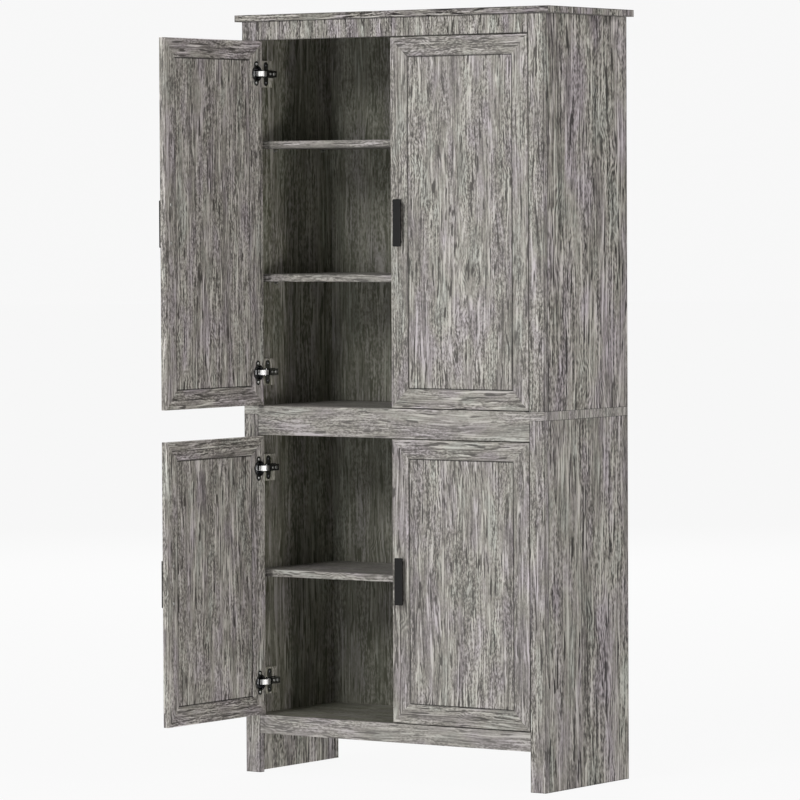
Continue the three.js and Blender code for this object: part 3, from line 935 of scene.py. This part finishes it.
class CUPBOARD_OT_handle_screws(bpy.types.Operator):
    """Drive the two screws that hold each handle from inside its door"""

    bl_idname = "cupboard.handle_screws"
    bl_label = "Add handle screws"

    def execute(self, context):
        radius = context.scene.cupboard_hardware.handle_screw / 2
        for door in DOORS:
            to_frame = door_matrix(door)
            low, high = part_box(f"{door}_handle")
            middle = to_frame.inverted() @ ((low + high) / 2)
            made = bmesh.new()
            for up in (-1, 1):
                height = middle.z + up * HANDLE_SCREWS["up"] * MM
                spot = Vector((middle.x, HANDLE_SCREWS["deep"] * MM, height))
                place = to_frame @ facing(spot, Vector((0, 1, 0)))
                add_screw(made, place, radius, HANDLE_SCREWS["rise"] * MM, 0.5 - up)
            new_piece(f"{door}_handle_screws", made, door, "zinc_plated_screw")
        return {"FINISHED"}


# A shelf pin's outline: shares of its radius, and millimetres from the side panel. The shelf is
# just clear of its flange. Then how far the pins stand from the shelf's front and rear edges, in
# millimetres.
PIN_FLANGE = 1.7
PIN_OUTLINE = (
    (0, 0), (PIN_FLANGE, 0), (PIN_FLANGE, 1.2), (1, 1.4), (1, 8), (0.8, 8.6), (0, 8.6),
)
PIN_CLEARANCE = 0.2
PINS_FROM_FRONT = 75
PINS_FROM_REAR = 40


class CUPBOARD_OT_shelf_pins(bpy.types.Operator):
    """Set four pins under each shelf"""

    bl_idname = "cupboard.shelf_pins"
    bl_label = "Add shelf pins"

    def execute(self, context):
        radius = context.scene.cupboard_hardware.shelf_pin / 2
        profile = [(share * radius, out * MM) for share, out in PIN_OUTLINE]
        for shelf in SHELVES:
            low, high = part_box(shelf)
            wall = high.x + SHELF_GAP
            height = low.z - PIN_CLEARANCE * MM - PIN_FLANGE * radius
            made = bmesh.new()
            for side in (-1, 1):
                for back in (low.y + PINS_FROM_FRONT * MM, high.y - PINS_FROM_REAR * MM):
                    place = facing(Vector((side * wall, back, height)), Vector((-side, 0, 0)))
                    add_turned(made, place, profile)
            new_piece(f"{shelf}_pins", made, "case", "zinc_plated_screw")
        return {"FINISHED"}


# A cam cap's outline in millimetres, pairs of radius and drop below the board, and where the caps
# are: from the side panel's inner face, and behind the cupboard's front.
CAP_OUTLINE = ((0, 0), (8.6, 0), (8.6, 0.5), (7.6, 0.9), (0, 1.0))
CAPS_FROM_WALL = 34
CAPS_BEHIND_FRONT = (110, 260)


class CUPBOARD_OT_cam_caps(bpy.types.Operator):
    """Press the caps over the cam locks under the boards"""

    bl_idname = "cupboard.cam_caps"
    bl_label = "Add cam caps"

    def execute(self, context):
        profile = [(radius * MM, drop * MM) for radius, drop in CAP_OUTLINE]
        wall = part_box("middle_shelf")[1].x + SHELF_GAP
        for board in ("lower_floor", "mid_deck", "top_board"):
            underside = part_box(board)[0].z
            made = bmesh.new()
            for side in (-1, 1):
                for behind in CAPS_BEHIND_FRONT:
                    spot = Vector((side * (wall - CAPS_FROM_WALL * MM), behind * MM, underside))
                    add_turned(made, facing(spot, Vector((0, 0, -1))), profile, 28)
            new_piece(f"{board}_cam_caps", made, "case", "grey_moulded_cap")
        return {"FINISHED"}


# Each lamp's place and width in metres, and its colour. They all look at one point.
LAMPS = {
    "key": ((-0.5, -8.0, 5.0), 2.4, "FFFFFF"),
    "front": ((0.5, -8.0, 0.9), 1.6, "FFFFFF"),
    "side": ((6.0, -1.0, 5.0), 3.0, "FFFBFA"),
    "low": ((6.5, -2.4, 0.35), 0.6, "FFFBFA"),
    "back": ((-4.5, 6.5, 4.0), 3.0, "FFFFFF"),
}
LAMP_TARGET = Vector((0, 0.1, 0.95))

# The floor: its share of glow as it lights the cupboard and as it is seen, how bright the glow is,
# and its radius in metres. Then how bright the white behind it is.
FLOOR_LIT, FLOOR_SEEN = 0.4, 0.95
FLOOR_GLOW = 0.975
FLOOR_RADIUS = 60
WHITE_BEHIND = 0.935

# The camera: its place, its angles in radians round the cupboard, down and in its roll, and how far
# it sees in metres.
CAMERA_SPOT = Vector((6.70111, -9.60105, 1.36181))
CAMERA_TURN, CAMERA_TILT, CAMERA_ROLL = 0.60758, 0.03869, -0.00512
CAMERA_REACH = 200


class CUPBOARD_OT_stage(bpy.types.Operator):
    """Lay the floor, hang the lamps and set the camera"""

    bl_idname = "cupboard.stage"
    bl_label = "Set the stage"

    def execute(self, context):
        stage = context.scene.cupboard_stage
        self.floor()
        self.world(context.scene, stage.fill)
        for name, (spot, size, colour) in LAMPS.items():
            self.lamp(f"{name}_lamp", getattr(stage, f"{name}_power"), spot, size, colour)
        self.camera(context.scene, stage.focal_length)
        return {"FINISHED"}

    @staticmethod
    def seen(tree):
        """1 where the camera sees a surface, itself or in metal or glass, and 0 for light alone."""
        path = add_node(tree, "ShaderNodeLightPath").outputs
        seen = path["Is Camera Ray"]
        for ray in (path["Is Glossy Ray"], path["Is Transmission Ray"]):
            seen = add_node(tree, "ShaderNodeMath", {"operation": "MAXIMUM"}, {0: seen, 1: ray})
        return seen

    def floor(self):
        """A pale floor that glows softly, keeps a faint shadow and runs into the white behind."""
        material, tree = new_material("pale_floor")
        share = add_node(
            tree, "ShaderNodeMapRange", {},
            {"Value": self.seen(tree), "To Min": FLOOR_LIT, "To Max": FLOOR_SEEN},
        )
        diffuse = add_node(tree, "ShaderNodeBsdfDiffuse", {}, {"Color": (0.9, 0.9, 0.9, 1)})
        glow = add_node(
            tree, "ShaderNodeEmission", {}, {"Color": (1, 1, 1, 1), "Strength": FLOOR_GLOW}
        )
        mix = add_node(tree, "ShaderNodeMixShader", {}, {0: share, 1: diffuse, 2: glow})
        add_node(tree, "ShaderNodeOutputMaterial", {}, {"Surface": mix})
        made = bmesh.new()
        bmesh.ops.create_circle(made, cap_ends=True, segments=64, radius=FLOOR_RADIUS)
        data = bpy.data.meshes.new("floor")
        made.to_mesh(data)
        made.free()
        data.materials.append(material)
        floor = bpy.data.objects.new("floor", data)
        bpy.context.scene.collection.objects.link(floor)

    def world(self, scene, fill):
        """Even light from all round, with plain white behind the cupboard."""
        world = bpy.data.worlds.new("studio")
        world.use_nodes = True
        tree = world.node_tree
        tree.nodes.clear()
        strength = add_node(
            tree, "ShaderNodeMapRange", {},
            {"Value": self.seen(tree), "To Min": fill, "To Max": WHITE_BEHIND},
        )
        light = add_node(
            tree, "ShaderNodeBackground", {}, {"Color": (1, 1, 1, 1), "Strength": strength}
        )
        add_node(tree, "ShaderNodeOutputWorld", {}, {"Surface": light})
        scene.world = world

    @staticmethod
    def lamp(name, power, spot, size, colour):
        """A square softbox that looks at the cupboard's middle."""
        data = bpy.data.lights.new(name, "AREA")
        data.shape = "SQUARE"
        data.size = size
        data.energy = power
        data.color = linear(colour)
        lamp = bpy.data.objects.new(name, data)
        lamp.location = spot
        lamp.rotation_euler = (LAMP_TARGET - lamp.location).to_track_quat("-Z", "Y").to_euler()
        bpy.context.scene.collection.objects.link(lamp)

    @staticmethod
    def camera(scene, focal_length):
        """The camera of the photograph, solved from the cupboard's corners."""
        data = bpy.data.cameras.new("camera")
        data.lens = focal_length
        data.sensor_width = 36
        data.clip_end = CAMERA_REACH
        data.dof.use_dof = False
        camera = bpy.data.objects.new("camera", data)
        right = Vector((math.cos(CAMERA_TURN), math.sin(CAMERA_TURN), 0))
        up = Vector((0, 0, 1))
        level = Matrix((right, up, right.cross(up))).transposed().to_4x4()
        tilt = Matrix.Rotation(-CAMERA_TILT, 4, "X")
        roll = Matrix.Rotation(CAMERA_ROLL, 4, "Z")
        camera.matrix_world = Matrix.Translation(CAMERA_SPOT) @ level @ tilt @ roll
        scene.collection.objects.link(camera)
        scene.camera = camera


STEPS = (
    CUPBOARD_OT_materials,
    CUPBOARD_OT_case,
    CUPBOARD_OT_doors,
    CUPBOARD_OT_hardware,
    CUPBOARD_OT_hinge_screws,
    CUPBOARD_OT_handle_screws,
    CUPBOARD_OT_shelf_pins,
    CUPBOARD_OT_cam_caps,
    CUPBOARD_OT_stage,
)


class CUPBOARD_PT_panel(bpy.types.Panel):
    """The cupboard's sizes, colours and steps"""

    bl_idname = "CUPBOARD_PT_panel"
    bl_label = "Cupboard"
    bl_space_type = "VIEW_3D"
    bl_region_type = "UI"
    bl_category = "Cupboard"

    def draw(self, context):
        scene = context.scene
        for group in (scene.cupboard_oak, scene.cupboard_hardware, scene.cupboard_stage):
            box = self.layout.box()
            for name in group.__annotations__:
                box.prop(group, name)
        for step in STEPS:
            self.layout.operator(step.bl_idname)


CLASSES = (OakSettings, HardwareSettings, StageSettings, *STEPS, CUPBOARD_PT_panel)


def register():
    for one in CLASSES:
        bpy.utils.register_class(one)
    bpy.types.Scene.cupboard_oak = bpy.props.PointerProperty(type=OakSettings)
    bpy.types.Scene.cupboard_hardware = bpy.props.PointerProperty(type=HardwareSettings)
    bpy.types.Scene.cupboard_stage = bpy.props.PointerProperty(type=StageSettings)


def unregister():
    del bpy.types.Scene.cupboard_stage
    del bpy.types.Scene.cupboard_hardware
    del bpy.types.Scene.cupboard_oak
    for one in reversed(CLASSES):
        bpy.utils.unregister_class(one)


def main():
    register()
    bpy.context.scene.view_settings.view_transform = "Standard"
    for step in STEPS:
        group, name = step.bl_idname.split(".")
        getattr(getattr(bpy.ops, group), name)()
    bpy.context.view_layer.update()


if __name__ == "__main__":
    main()
